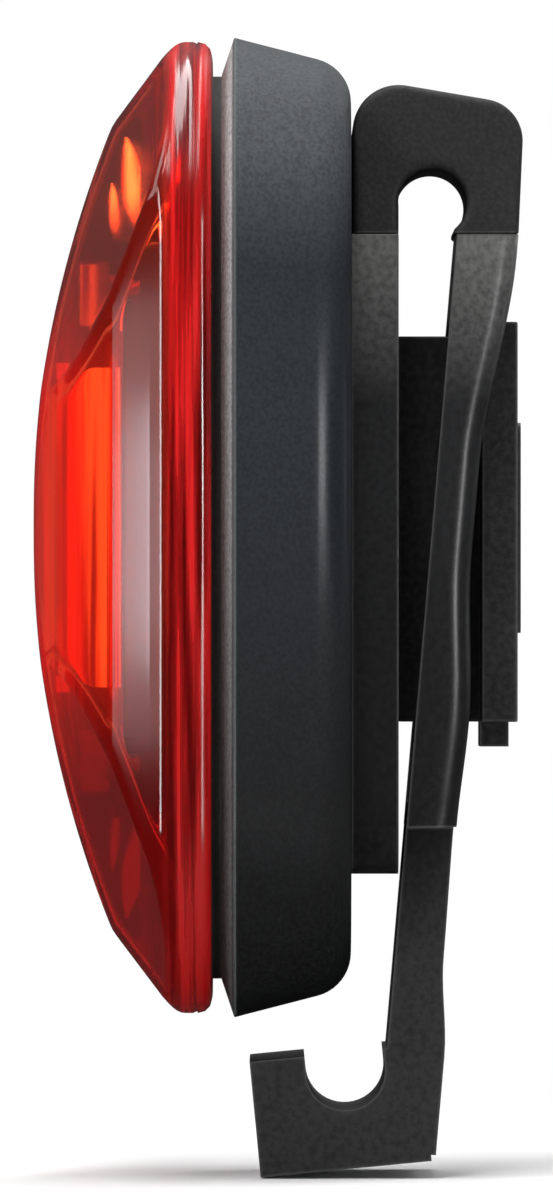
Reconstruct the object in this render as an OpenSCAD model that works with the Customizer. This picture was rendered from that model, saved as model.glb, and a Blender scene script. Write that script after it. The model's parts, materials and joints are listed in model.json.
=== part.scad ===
// Rear bicycle light with a removable red lens, two AAA cells, a spring clip and a dock rail.
// Millimetres. X runs across, Z is up, the lens faces -Y and the clip is on the +Y side.
// The origin is the middle of the dock rail's back face.
// Names that start with f_ are distances forward of that face, so Y is minus their value.

/* [Lens] */
// Width of the lens
lens_w = 38; // [36:0.5:44]
// Height of the lens
lens_h = 70; // [66:0.5:80]
// Corner radius of the lens seen from the front
lens_corner_r = 13.5; // [12:0.5:16]
// Depth of the lens from its back face to the front of the dome
lens_depth = 13; // [12.5:0.25:16]
// Radius of the front arch seen from the side
lens_bow_r = 76.5; // [70:0.5:100]
// Depth of the rim at the top and bottom ends
end_d = 2.5; // [2.3:0.1:3]
// Lean of the flat face behind each end, in degrees from straight up
end_lean = 39; // [36:0.5:42]
// Depth of the straight rim
rim_d = 3.6; // [3:0.1:4.5]
// Wall of the lens
lens_wall = 1.6; // [1.2:0.1:1.8]
// Lean of the flat facet on each side, in degrees from straight ahead
facet_lean = 34; // [28:1:38]
// Width of that facet, from the rim to its front crease
facet_w = 4.43; // [3.6:0.01:5]
// Half length of that facet along its front crease
facet_half = 16.5; // [14:0.5:18]
// Extra half length of the facet along the rim
facet_slant = 9.5; // [6:0.5:10]
// Height above the arch at which the corner facets pass the middle
corner_keep = 0.7; // [0.4:0.1:1.5]
// Distance from the lens end at which that height is taken
corner_from_end = 5; // [4:0.5:7]
// Thickness of the flange round the back of the lens
lens_flange = 1.4; // [1:0.1:1.8]
// Distance from the lens outline to the spigot
spigot_in = 4; // [3.8:0.1:4.4]
// Thickness of the spigot
spigot_t = 1.4; // [1:0.1:1.6]
// Length of the spigot inside the housing
spigot_l = 2.8; // [2:0.1:4]

/* [Seal] */
// Thickness of the seal ring between lens and housing
seal_t = 0.7; // [0.5:0.1:1.2]
// Distance from the lens outline to the seal
seal_in = 2.5; // [2:0.1:3]

/* [Housing] */
// How far the housing lip stands past the lens outline
lip_over = 0.3; // [0.1:0.1:1]
// Depth of the bevel in front of the lip
bevel_d = 0.9; // [0.5:0.1:1.5]
// Width of that bevel
bevel_in = 2.7; // [2:0.1:2.9]
// Draft of the side walls, in degrees
draft = 14.5; // [8:0.5:16]
// Radius of the back edge
back_r = 3.2; // [2:0.1:4]
// Thickness of the back wall
back_wall = 1.8; // [1.4:0.1:2.4]
// Thickness of the ribs inside
rib_t = 0.8; // [0.6:0.1:1]
// Height of the ribs that back the contacts
rib_d = 6; // [4:0.5:7]
// Length of the ribs beside the cells
keep_l = 35.6; // [20:0.1:40]

/* [Cells] */
// Diameter of a cell
cell_d = 10.5; // [10:0.1:11]
// Length of a cell with its nub
cell_l = 44.5; // [42:0.1:46]
// Diameter of the nub
nub_d = 3.8; // [3:0.1:5]
// Length of the nub
nub_l = 0.8; // [0.5:0.1:1.5]
// Gap between the two cells
cell_gap = 1.9; // [1.6:0.1:3]
// Clearance under and beside the cells
cell_clear = 0.15; // [0.1:0.05:0.3]

/* [Contacts] */
// Thickness of the contact strip
strip_t = 0.4; // [0.3:0.05:0.6]
// Width of the contact strip
strip_w = 5.2; // [4:0.1:5.4]
// How far the contact strip reaches past the middle of a cell
strip_over = 3.7; // [2.5:0.1:4.2]
// Width of the tongue that touches the board
strip_tab_w = 2; // [1.5:0.1:3]
// Space taken by a contact spring
leaf_l = 2; // [1.5:0.1:2.4]
// Radius of the curved spring leaf
leaf_r = 5; // [4.5:0.1:6]
// Clearance between touching metal faces
touch = 0.1; // [0.05:0.01:0.15]

/* [Board] */
// Height of the board
board_h = 51; // [50:0.5:52]
// Corner radius of the board
board_corner_r = 7.8; // [6:0.1:9]
// Thickness of the board
board_t = 1; // [0.8:0.1:1.2]
// Gap between board and cells
board_gap = 0.55; // [0.4:0.05:1]
// Depth of the board's back face inside the lens
board_in = 3; // [2.6:0.1:3.2]
// Gap round the board where it passes the spigot
board_side = 0.4; // [0.2:0.1:0.6]
// Distance of the board screws from the middle, sideways
screw_x = 10.6; // [10:0.1:11]
// Distance of the board screws from the middle, upwards
screw_up = 17; // [16:0.5:17.5]
// Radius of the lens bosses for the board screws
boss_r = 2.1; // [1.9:0.1:2.3]

/* [Lamps] */
// Diameter of an LED
led_d = 3; // [2:0.1:3.2]
// Height of an LED below its dome
led_base = 0.6; // [0.4:0.1:0.7]
// Distance between the LEDs
led_pitch = 13; // [12:0.5:13.5]
// Depth of the reflector tray
reflector_d = 2.2; // [2:0.1:2.4]
// How far the reflector tray reaches past the board screws, sideways
reflector_side = 1.4; // [1.2:0.1:1.6]
// How far the reflector tray reaches past the board screws, upwards
reflector_end = 3.5; // [3.3:0.1:4.5]
// Corner radius of the reflector tray
reflector_corner_r = 4; // [2:0.5:4.5]
// Gap between the reflector and the lens
reflector_gap = 0.4; // [0.3:0.1:0.6]
// Thickness of the tray under the lens bosses
ear_t = 0.8; // [0.6:0.1:1]
// Thickness of the fins at both ends of the reflector
fin_t = 1; // [0.8:0.1:1.4]
// How far the fins reach into the tray
fin_in = 1.5; // [1:0.1:1.6]
// How far the fins stand out of the tray
fin_out = 8.9; // [7:0.1:9.2]
// Diameter of a reflector cup at the board
cup_floor_d = 3.4; // [3.3:0.1:4]
// Diameter of a reflector cup at its mouth
cup_mouth_d = 10; // [8:0.5:10.5]
// Thickness of the light guide plate
guide_t = 0.8; // [0.6:0.1:1]
// Radius of a light guide bar
bar_r = 1.5; // [1:0.1:1.8]
// Length of a light guide bar
bar_l = 23; // [18:0.5:24]
// Distance between the light guide bars
bar_pitch = 4.5; // [4:0.1:4.6]
// Gap between the bars and the lens
bar_gap = 1.3; // [1.2:0.1:1.6]
// Radius of the short bars at both ends of the guide
end_bar_r = 1; // [0.8:0.1:1.2]
// Height at which the short bars begin
end_bar_from = 14.3; // [13.5:0.1:15]
// Length of a short bar
end_bar_l = 4.4; // [3:0.1:4.6]

/* [Electronics] */
// Width of the push switch
switch_w = 6; // [5:0.1:6.2]
// Height of the push switch
switch_h = 2.8; // [2.4:0.1:2.8]
// How far the push switch reaches behind and in front of its plunger
switch_half = 1.8; // [1.5:0.1:2]
// Width of the riser between switch and board
riser_w = 4; // [3:0.1:5]
// Diameter of the switch plunger
plunger_d = 2.4; // [2:0.1:2.8]
// Length of the switch plunger
plunger_l = 1; // [0.6:0.1:1.4]
// Width of the driver chip
chip_w = 4; // [3:0.1:5]
// Height of the driver chip
chip_h = 3; // [2:0.1:3.2]
// Thickness of the driver chip
chip_t = 1.4; // [1:0.1:1.6]
// Length of a resistor
resistor_l = 2; // [1.6:0.1:2.4]
// Thickness of a resistor
resistor_t = 0.6; // [0.4:0.1:0.8]

/* [Button] */
// Width of the power button
button_w = 11; // [9:0.5:13]
// Depth of the power button
button_d = 3.4; // [2.6:0.1:3.4]
// Travel of the power button
button_travel = 0.6; // [0.4:0.1:0.8]
// How far the button lies below the housing surface
button_recess = 0.2; // [0.1:0.05:0.4]
// Thickness of the flange that holds the button in
button_flange = 1; // [0.8:0.1:1.2]
// How far that flange stands out round the button
button_brim = 0.7; // [0.5:0.1:0.7]
// Width of the foot that reaches the switch
foot_w = 3; // [2.4:0.1:3.4]

/* [Clip] */
// Thickness of the clip base
base_t = 3.4; // [3.2:0.1:4.5]
// Width of the clip base and of the arm beside its window
clip_w = 22; // [21.5:0.5:26]
// Height at which base and arm meet the bow
clip_top = 21; // [20.6:0.1:22]
// Height of the lower edge of the base
base_bottom = -24.9; // [-28:0.1:-24]
// Corner radius of the base
base_corner_r = 3; // [1:0.5:5]
// Width of the spring bow
bow_w = 20.4; // [18:0.1:21]
// Distance from the base to the middle of the bow's eye
eye_in = 2.44; // [2.3:0.02:2.6]
// Radius of the eye in the bow
eye_r = 2.46; // [2:0.01:2.6]
// Height of the middle of the eye
eye_up = 23.3; // [23:0.1:24]
// Width of the slot below the eye
slot_w = 4; // [3.4:0.1:4.2]
// Height of the top of the bow
bow_top = 31.75; // [30:0.05:33]
// Radius of the bow's front corner
bow_front_r = 3.3; // [2.5:0.1:3.5]
// Radius of the bow's back corner
bow_back_r = 3; // [2.5:0.1:3.2]
// Drop of the bow's back corner below its front corner
bow_drop = 1; // [0.5:0.1:1.5]
// How far the bow stands out behind the arm
bow_out = 0.3; // [0.1:0.1:0.5]
// Lean of the arm towards the base, in degrees
arm_lean = 4.9; // [4.7:0.1:4.9]
// Distance from the eye's middle to the arm's front face
arm_in = 1.95; // [1.9:0.05:2.1]
// Thickness of the arm
arm_t = 4.4; // [4.2:0.1:5]
// Height of the step where the arm gets narrower
arm_step_up = -21.6; // [-24:0.1:-21.4]
// Width of the arm below that step
tail_w = 17; // [14:0.5:20]
// Thickness of the arm below that step
tail_t = 4.15; // [3.8:0.05:4.4]
// Height of the upper edge of the arm's window
window_top = 18.4; // [18:0.1:18.6]
// Height of the lower edge of the arm's window
window_bottom = -19.8; // [-20.2:0.1:-19.6]
// Clearance between the arm's window and the dock rail
window_clear = 0.5; // [0.3:0.1:0.8]
// Length of the bow's tongues inside base and arm
tongue_l = 1.8; // [1:0.1:2]
// Thickness of those tongues
tongue_t = 1.6; // [1.2:0.1:1.8]
// Width of those tongues
tongue_w = 12; // [8:0.5:16]

/* [Hook] */
// Distance from the eye down to the middle of the hook's cup
hook_drop = 62.65; // [58:0.05:68]
// Radius of the hook's cup
hook_r = 2.85; // [2.6:0.05:3.5]
// Thickness of the hook below the cup
hook_t = 4.2; // [3.5:0.1:5]
// Thickness of the hook behind the cup
heel_t = 2.7; // [2:0.1:3.5]
// How far the arm reaches into the hook below its cup
heel_in = 2.65; // [2:0.05:3.2]
// Thickness of the hook's tip
tip_t = 3.95; // [3:0.05:5]
// Height of the tip above the middle of the cup
tip_rise = 1.3; // [0.5:0.1:1.8]
// Lean of the hook against the level, in degrees
hook_lean = 5.5; // [3:0.5:7]

/* [Dock] */
// Thickness of the rail's flange
flange_t = 2.6; // [2.4:0.1:3]
// Width of the rail's flange
flange_w = 14; // [13:0.5:16]
// Height of the upper edge of the flange
flange_top = 14.8; // [14.4:0.1:14.8]
// Depth of the rail's web
web_d = 6; // [5.8:0.1:6.4]
// Width of the rail's web
web_w = 9; // [8:0.5:10]
// Height of the upper edge of the web
web_top = 13.8; // [13:0.1:14]
// Height of the lower edge of the rail
rail_bottom = -14; // [-14.4:0.1:-13]
// Width of the latch tongue
latch_w = 7; // [6:0.5:7.5]
// Thickness of the latch tongue
latch_t = 1.6; // [1.2:0.1:1.8]
// Height of the latch tongue's root
latch_root = 8.6; // [8:0.1:9]
// Room behind the latch tongue
latch_room = 2.5; // [2.4:0.1:2.8]
// Clearance round the latch tongue
latch_clear = 0.3; // [0.2:0.05:0.4]
// Width of the raised pad
pad_w = 5.2; // [4:0.1:5.6]
// Half length of the raised pad
pad_half = 7.6; // [6:0.1:8]
// Height of the raised pad
pad_rise = 0.3; // [0.2:0.05:0.5]
// Length of the thumb tab
tab_l = 1.8; // [1.4:0.1:2]
// Thickness of the thumb tab
tab_t = 2.1; // [1.5:0.1:2.3]
// How far the thumb tab lies in front of the rail's back face
tab_in = 0.6; // [0.4:0.1:0.8]

/* [Screws] */
// Diameter of a screw's shank
screw_d = 1.5; // [1.2:0.1:1.8]
// Diameter of a screw's head
head_d = 3; // [2.6:0.1:3.2]
// Height of a screw's head
head_h = 1; // [0.8:0.1:1.2]
// Radial clearance of a shank in its hole
screw_clear = 0.2; // [0.1:0.05:0.3]
// Radial clearance of a shank in its pilot
pilot_clear = 0.05; // [0.02:0.01:0.1]
// Height of the upper base screw
base_screw_top = 16.2; // [16:0.1:16.4]
// Height of the lower base screw
base_screw_bottom = -18; // [-18.2:0.1:-17.6]
// Radius of the housing bosses for the base screws
base_boss_r = 2.2; // [1.8:0.1:2.3]
// Height of those bosses inside
base_boss_l = 1.6; // [1:0.1:1.7]
// Half distance between the rail screws
rail_screw_half = 7; // [5:0.5:9]
// Length of the rail screws inside the rail
rail_screw_l = 3.4; // [2.5:0.1:3.6]

/* [Fits] */
// Gap between bodies that part or move
body_gap = 0.3; // [0.2:0.05:0.4]
// Gap between pieces of one body
seat_gap = 0.1; // [0.05:0.01:0.15]

/* [Hidden] */
$fn = 64;
over = 1;

// Stack of faces, as distances forward of the rail's back face
f_base = flange_t + web_d;
f_back = f_base + base_t;
f_floor = f_back + back_wall;
f_cell = f_floor + cell_clear + cell_d / 2;
f_board = f_cell + cell_d / 2 + board_gap;
f_board_front = f_board + board_t;
f_lens = f_board - board_in;
f_mouth = f_lens - seal_t;
f_rim = f_lens + rim_d;
f_apex = f_lens + lens_depth;
f_ear = f_board_front + ear_t;
f_reflector = f_board_front + reflector_d;
f_guide = f_reflector + guide_t;
f_bar = f_apex - lens_wall - bar_gap;
f_button = (f_floor + f_lens - spigot_l) / 2;

// Lens curves
end_point = [lens_h / 2, f_lens + end_d];
end_dir = [-cos(end_lean), sin(end_lean)];
end_out = [sin(end_lean), cos(end_lean)];
facet_dir = [-sin(facet_lean), cos(facet_lean)];
facet_out = [cos(facet_lean), sin(facet_lean)];
rim_point = [lens_w / 2, f_rim];
crease = rim_point + facet_dir * facet_w;
crease_drop = f_apex - crease[1];
lens_cross_r = (pow(crease[0], 2) + pow(crease_drop, 2)) / (2 * crease_drop);
cross_centre = [0, f_apex - lens_cross_r];
corner_up = lens_h / 2 - corner_from_end;
corner_f = f_apex - lens_bow_r + sqrt(pow(lens_bow_r, 2) - pow(corner_up, 2)) + corner_keep;
corner_a = [crease[0], facet_half, crease[1]];
corner_b = [rim_point[0], facet_half + facet_slant, rim_point[1]];
corner_c = [0, corner_up, corner_f];
corner_cross = cross(corner_b - corner_a, corner_c - corner_a);
corner_out = corner_cross / norm(corner_cross);
cavity_in = spigot_in - body_gap;

// Housing profile, measured from the middle of a corner
house_w = lens_w + 2 * lip_over;
house_h = lens_h + 2 * lip_over;
house_r = lens_corner_r + lip_over;
f_lip = f_mouth - bevel_d;
f_round = f_back + back_r;
round_x = house_r - (f_lip - f_round) * tan(draft) - back_r / cos(draft);
cavity_top = lens_h / 2 - cavity_in;

// Board, reflector, cells and button
board_w = lens_w - 2 * (spigot_in + spigot_t + board_side);
cell_x = (cell_d + cell_gap) / 2;
cell_top = cell_l / 2;
reflector_w = 2 * (screw_x + reflector_side);
reflector_h = 2 * (screw_up + reflector_end);
switch_up = cell_top + touch + strip_t + touch;
plunger_up = switch_up + switch_h + plunger_l;
foot_up = plunger_up + button_travel + touch;
brim_up = cavity_top - body_gap - button_flange;

// Clip
eye = [eye_in - f_base, eye_up];
arm_back_top = eye[0] + (arm_in + arm_t) / cos(arm_lean) - (eye_up - clip_top) * tan(arm_lean);
bow_front = [-(f_back - seat_gap) + bow_front_r, bow_top - bow_front_r];
bow_back = [arm_back_top + bow_out - bow_back_r, bow_top - bow_drop - bow_back_r];
bow_line = bow_back - bow_front;
bow_normal_angle = atan2(bow_line[1], bow_line[0]) + acos((bow_front_r - bow_back_r) / norm(bow_line));
bow_normal = [cos(bow_normal_angle), sin(bow_normal_angle)];
window_w = flange_w + 2 * window_clear;
cup = eye + [(arm_in - hook_r) * cos(arm_lean) - hook_drop * sin(arm_lean),
    -(arm_in - hook_r) * sin(arm_lean) - hook_drop * cos(arm_lean)];
arm_tongue_y = arm_back_top - arm_t / 2;
base_tongue_y = -(f_base + base_t / 2);

// Turns face drawings so that their third axis points forward
module facing() {
    rotate([90, 0, 0]) children();
}

// Extrudes a drawing of Y and Z across the width
module across(width) {
    rotate([90, 0, 90]) linear_extrude(width, center = true) children();
}

// Within facing(): extrudes a drawing of X and forward between two heights
module upright(low, high) {
    translate([0, high, 0]) rotate([90, 0, 0]) linear_extrude(high - low) children();
}

// Within facing(): extrudes a drawing of X and height between two forward distances
module forward(low, high) {
    translate([0, 0, low]) linear_extrude(high - low) children();
}

module rounded_rect(w, h, r) {
    square([w - 2 * r, h], center = true);
    square([w, h - 2 * r], center = true);
    for (x = [-1, 1], y = [-1, 1])
        translate([x * (w / 2 - r), y * (h / 2 - r)]) circle(r);
}

// The lens outline drawn in by some distance
module lens_outline(inset) {
    rounded_rect(lens_w - 2 * inset, lens_h - 2 * inset, lens_corner_r - inset);
}

// A flat pill standing on its long side
module pill(w, d) {
    square([w - d, d], center = true);
    for (x = [-1, 1]) translate([x * (w - d) / 2, 0]) circle(d / 2);
}

// The arch seen from above, between both side facets
module cross_profile(inset) {
    reach = lens_depth;
    low = rim_point - facet_out * inset - facet_dir * 2 * reach;
    high = rim_point - facet_out * inset + facet_dir * reach;
    intersection() {
        translate(cross_centre) circle(lens_cross_r - inset);
        polygon([low, high, [-high[0], high[1]], [-low[0], low[1]]]);
    }
}

// The arch seen from the side, between both flat ends
module side_profile(inset) {
    reach = 2 * lens_depth;
    low = end_point - end_out * inset - end_dir * reach;
    high = end_point - end_out * inset + end_dir * reach;
    intersection() {
        translate([0, f_apex - lens_bow_r]) circle(lens_bow_r - inset);
        polygon([low, high, [-high[0], high[1]], [-low[0], low[1]]]);
    }
}

// Everything beyond the flat facet at one corner
module corner_cut(inset) {
    side = 2 * lens_h;
    translate(corner_a)
        rotate([0, acos(corner_out[2]), atan2(corner_out[1], corner_out[0])])
            translate([-side / 2, -side / 2, -inset]) cube(side);
}

// The dome of the lens drawn in by some distance, from one forward distance on
module lens_form(inset, low) {
    difference() {
        intersection() {
            forward(low, f_apex + over) lens_outline(inset);
            rotate([90, 0, 0]) linear_extrude(2 * lens_h, center = true) cross_profile(inset);
            rotate([90, 0, 90]) linear_extrude(2 * lens_w, center = true) side_profile(inset);
        }
        for (x = [0, 1], y = [0, 1]) mirror([x, 0, 0]) mirror([0, y, 0]) corner_cut(inset);
    }
}

module board_screw_places() {
    for (x = [-1, 1], y = [-1, 1]) translate([x * screw_x, y * screw_up, 0]) children();
}

module lens() {
    pilot_l = lens_wall + boss_r / 2;
    color([0.8, 0.02, 0.02, 0.6]) facing() difference() {
        union() {
            difference() {
                lens_form(0, f_lens);
                lens_form(lens_wall, f_lens + lens_flange);
            }
            forward(f_lens - spigot_l, f_lens + lens_flange / 2) lens_outline(spigot_in);
            intersection() {
                board_screw_places() forward(f_ear, f_apex) circle(boss_r);
                lens_form(lens_wall / 2, f_lens);
            }
        }
        forward(f_lens - spigot_l - over, f_ear - ear_t) lens_outline(spigot_in + spigot_t);
        board_screw_places() forward(f_ear - over, f_ear + pilot_l) circle(screw_d / 2 + pilot_clear);
    }
}

// A bar of the light guide, standing on its plate, in a drawing of X and forward
module guide_bar(r, f_top) {
    low = f_guide - guide_t / 2;
    translate([-r, low]) square([2 * r, f_top - r - low]);
    translate([0, f_top - r]) circle(r);
}

module light_guide() {
    plate_w = 2 * (bar_pitch + bar_r) - guide_t / 2;
    plate_h = bar_l + 2 * guide_t;
    end_to = end_bar_from + end_bar_l;
    color([1, 0.35, 0.1, 0.8]) facing() {
        forward(f_reflector, f_guide) {
            rounded_rect(plate_w, plate_h, bar_r);
            square([2 * bar_r, 2 * end_to], center = true);
        }
        for (x = [-1, 0, 1]) upright(-bar_l / 2, bar_l / 2)
            translate([x * bar_pitch, 0]) guide_bar(bar_r, f_bar);
        for (low = [end_bar_from, -end_to]) upright(low, low + end_bar_l)
            guide_bar(end_bar_r, f_guide + end_bar_r + guide_t / 2);
    }
}

module reflector() {
    fin_up = reflector_h / 2 + (fin_out - fin_in) / 2;
    color([0.2, 0.2, 0.21]) facing() difference() {
        intersection() {
            union() {
                forward(f_board_front, f_reflector)
                    rounded_rect(reflector_w, reflector_h, reflector_corner_r);
                for (y = [-1, 1]) forward(f_board_front, f_apex)
                    translate([0, y * fin_up]) square([fin_t, fin_in + fin_out], center = true);
            }
            lens_form(lens_wall + reflector_gap, f_lens);
        }
        for (i = [-1, 0, 1]) translate([0, i * led_pitch, f_board_front])
            cylinder(h = reflector_d, d1 = cup_floor_d, d2 = cup_mouth_d);
        board_screw_places() {
            forward(f_board_front - over, f_ear + over) circle(screw_d / 2 + screw_clear);
            forward(f_ear, f_apex) circle(boss_r + body_gap);
        }
    }
}

module leds() {
    color([0.95, 0.25, 0.2]) facing() for (i = [-1, 0, 1]) translate([0, i * led_pitch, 0]) {
        forward(f_board_front, f_board_front + led_base) circle(led_d / 2);
        intersection() {
            translate([0, 0, f_board_front + led_base]) sphere(led_d / 2);
            forward(f_board_front + led_base / 2, f_apex) circle(led_d);
        }
    }
}

module led_board() {
    color([0.1, 0.35, 0.18]) facing() difference() {
        forward(f_board, f_board_front) rounded_rect(board_w, board_h, board_corner_r);
        board_screw_places() forward(f_board - over, f_board_front + over)
            circle(screw_d / 2 + screw_clear);
    }
}

module driver_chip() {
    color([0.12, 0.12, 0.13]) facing() forward(f_board - chip_t, f_board)
        translate([-chip_w / 2, -switch_up - chip_h]) square([chip_w, chip_h]);
}

module board_resistors() {
    first = chip_w / 2 + resistor_l;
    color([0.2, 0.2, 0.22]) facing() for (x = [-1, 1], row = [0, 1])
        forward(f_board - resistor_t, f_board)
            translate([x * first, -switch_up - chip_h / 4 - row * chip_h / 2])
                square([resistor_l, resistor_l / 2], center = true);
}

module tact_switch() {
    color([0.15, 0.15, 0.16]) facing() {
        upright(switch_up, switch_up + switch_h) {
            translate([0, f_button]) square([switch_w, 2 * switch_half], center = true);
            translate([-riser_w / 2, f_button]) square([riser_w, f_board - f_button]);
        }
        upright(switch_up + switch_h / 2, plunger_up) translate([0, f_button]) circle(plunger_d / 2);
    }
}

// A pan-head screw at the origin, head below, shank along the third axis
module screw(length) {
    translate([0, 0, -head_h]) cylinder(h = head_h, d = head_d);
    translate([0, 0, -head_h / 2]) cylinder(h = length + head_h / 2, d = screw_d);
}

module board_screws() {
    color("silver") facing() board_screw_places()
        translate([0, 0, f_board]) screw(f_ear - f_board + lens_wall);
}

module lens_seal() {
    color([0.06, 0.06, 0.06]) facing() difference() {
        forward(f_mouth, f_lens) lens_outline(seal_in);
        forward(f_mouth - over, f_lens + over) lens_outline(cavity_in);
    }
}

// Half section of the housing, from the middle of a corner outwards
module house_profile() {
    polygon([
        [0, f_back],
        [round_x, f_back],
        [round_x + back_r * cos(draft), f_round - back_r * sin(draft)],
        [house_r, f_lip],
        [house_r - bevel_in, f_mouth],
        [0, f_mouth]
    ]);
    translate([round_x, f_round]) circle(back_r);
}

// That section carried round the outline of the housing
module house_form() {
    half_w = house_w / 2 - house_r;
    half_h = house_h / 2 - house_r;
    corners = [[half_w, half_h, 0], [-half_w, half_h, 90], [-half_w, -half_h, 180], [half_w, -half_h, 270]];
    for (c = corners) translate([c[0], c[1], 0]) rotate([0, 0, c[2]])
        rotate_extrude(angle = 90) house_profile();
    for (turn = [0, 180]) rotate([0, 0, turn]) {
        translate([half_w, 0, 0]) rotate([90, 0, 0])
            linear_extrude(2 * half_h, center = true) house_profile();
        rotate([0, 0, 90]) translate([half_h, 0, 0]) rotate([90, 0, 0])
            linear_extrude(2 * half_w, center = true) house_profile();
    }
    translate([-half_w, -half_h, f_back]) cube([2 * half_w, 2 * half_h, f_mouth - f_back]);
}

// Ribs that hold the cells and back the contacts
module house_ribs() {
    low = f_floor - back_wall / 2;
    side_x = cell_x + cell_d / 2 + cell_clear + rib_t;
    backs = [[-1, cell_top + 2 * touch + strip_t], [1, cell_top + leaf_l + strip_t + touch]];
    forward(low, f_cell) square([cell_gap - 4 * cell_clear, keep_l], center = true);
    for (x = [-1, 1]) forward(low, f_floor + rib_d / 2)
        translate([x * side_x, 0]) square([rib_t, keep_l], center = true);
    for (b = backs) forward(low, f_floor + rib_d)
        translate([b[0] * cell_x - strip_w / 2, b[1]]) square([strip_w, rib_t]);
    forward(low, f_floor + rib_d)
        translate([-cell_x - strip_w / 2, -backs[1][1] - rib_t]) square([2 * cell_x + strip_w, rib_t]);
    for (y = [base_screw_top, base_screw_bottom]) translate([0, y])
        forward(low, f_floor + base_boss_l) circle(base_boss_r);
}

module housing() {
    hole_w = button_w + 2 * body_gap;
    hole_d = button_d + 2 * body_gap;
    color([0.2, 0.21, 0.22]) facing() difference() {
        union() {
            difference() {
                house_form();
                forward(f_floor, f_mouth + over) lens_outline(cavity_in);
            }
            house_ribs();
        }
        upright(cavity_top - over, house_h / 2 + over) translate([0, f_button]) pill(hole_w, hole_d);
        for (y = [base_screw_top, base_screw_bottom]) translate([0, y])
            forward(f_back - over, f_floor + base_boss_l + over) circle(screw_d / 2 + pilot_clear);
    }
}

module power_button() {
    color([0.1, 0.1, 0.1]) facing() {
        intersection() {
            upright(brim_up + button_flange / 2, house_h / 2)
                translate([0, f_button]) pill(button_w, button_d);
            translate([0, -button_recess, 0]) house_form();
        }
        upright(brim_up, brim_up + button_flange) translate([0, f_button])
            pill(button_w + 2 * button_brim, button_d + 2 * button_brim);
        upright(foot_up, brim_up + button_flange / 2)
            translate([0, f_button]) square([foot_w, plunger_d], center = true);
    }
}

// A cell standing along Z with its nub up
module cell() {
    translate([0, 0, -cell_l / 2]) cylinder(h = cell_l - nub_l, d = cell_d);
    translate([0, 0, -cell_l / 2]) cylinder(h = cell_l, d = nub_d);
}

module cell_left() {
    color([0.85, 0.72, 0.3]) translate([-cell_x, -f_cell, 0]) cell();
}

module cell_right() {
    color([0.85, 0.72, 0.3]) translate([cell_x, -f_cell, 0]) rotate([180, 0, 0]) cell();
}

// A curved spring leaf in a drawing of Y and Z, bulging down from its strip
module leaf() {
    low = cell_top + touch;
    intersection() {
        difference() {
            translate([-f_cell, low + leaf_r]) circle(leaf_r);
            translate([-f_cell, low + leaf_r]) circle(leaf_r - strip_t);
        }
        translate([-f_cell - leaf_r, low - over]) square([2 * leaf_r, leaf_l + strip_t / 2 + over - touch]);
    }
}

// A contact strip standing on the floor, in a drawing of Y and Z
module strip(up) {
    translate([-f_cell - strip_over, up]) square([f_cell + strip_over - f_floor - touch, strip_t]);
}

// The tongue from a strip to the board
module strip_tab(up) {
    translate([-f_board + touch, up]) square([f_board - touch - f_cell, strip_t]);
}

module contact_positive() {
    up = cell_top + touch;
    color("silver") translate([-cell_x, 0, 0]) {
        across(strip_w) strip(up);
        across(strip_tab_w) strip_tab(up);
    }
}

module contact_negative() {
    up = cell_top + leaf_l;
    color("silver") translate([cell_x, 0, 0]) {
        across(strip_w) strip(up);
        across(strip_tab_w) strip_tab(up);
        across(strip_tab_w) leaf();
    }
}

module contact_bridge() {
    up = cell_top + leaf_l;
    color("silver") mirror([0, 0, 1]) {
        across(2 * cell_x + strip_w) strip(up);
        translate([-cell_x, 0, 0]) across(strip_tab_w) leaf();
        translate([cell_x, -f_cell, cell_top + touch])
            cylinder(h = leaf_l + strip_t / 2 - touch, d = nub_d);
    }
}

// Outline of the base, with two round lower corners
module base_outline() {
    r = base_corner_r;
    translate([-clip_w / 2, base_bottom + r]) square([clip_w, clip_top - base_bottom - r]);
    translate([-clip_w / 2 + r, base_bottom]) square([clip_w - 2 * r, 2 * r]);
    for (x = [-1, 1]) translate([x * (clip_w / 2 - r), base_bottom + r]) circle(r);
}

// A pocket for a tongue of the bow, open at the top
module tongue_pocket(y) {
    w = tongue_w + 2 * seat_gap;
    t = tongue_t + 2 * seat_gap;
    translate([-w / 2, y - t / 2, clip_top - tongue_l - seat_gap]) cube([w, t, tongue_l + over]);
}

module clip_base() {
    sink_r = head_d / 2 + screw_clear;
    sink_l = head_h + screw_clear;
    color([0.16, 0.16, 0.16]) difference() {
        facing() difference() {
            forward(f_base, f_back) base_outline();
            for (y = [base_screw_top, base_screw_bottom]) translate([0, y]) {
                forward(f_base - over, f_back + over) circle(screw_d / 2 + screw_clear);
                forward(f_base - over, f_base + sink_l) circle(sink_r);
            }
            for (y = [-1, 1]) translate([0, y * rail_screw_half]) {
                forward(f_base - over, f_back + over) circle(screw_d / 2 + screw_clear);
                forward(f_back - sink_l, f_back + over) circle(sink_r);
            }
        }
        tongue_pocket(base_tongue_y);
    }
}

module clip_screws() {
    seat = f_base + head_h + screw_clear;
    color("silver") facing() for (y = [base_screw_top, base_screw_bottom])
        translate([0, y, seat]) screw(f_floor + base_boss_l - seat);
}

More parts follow.
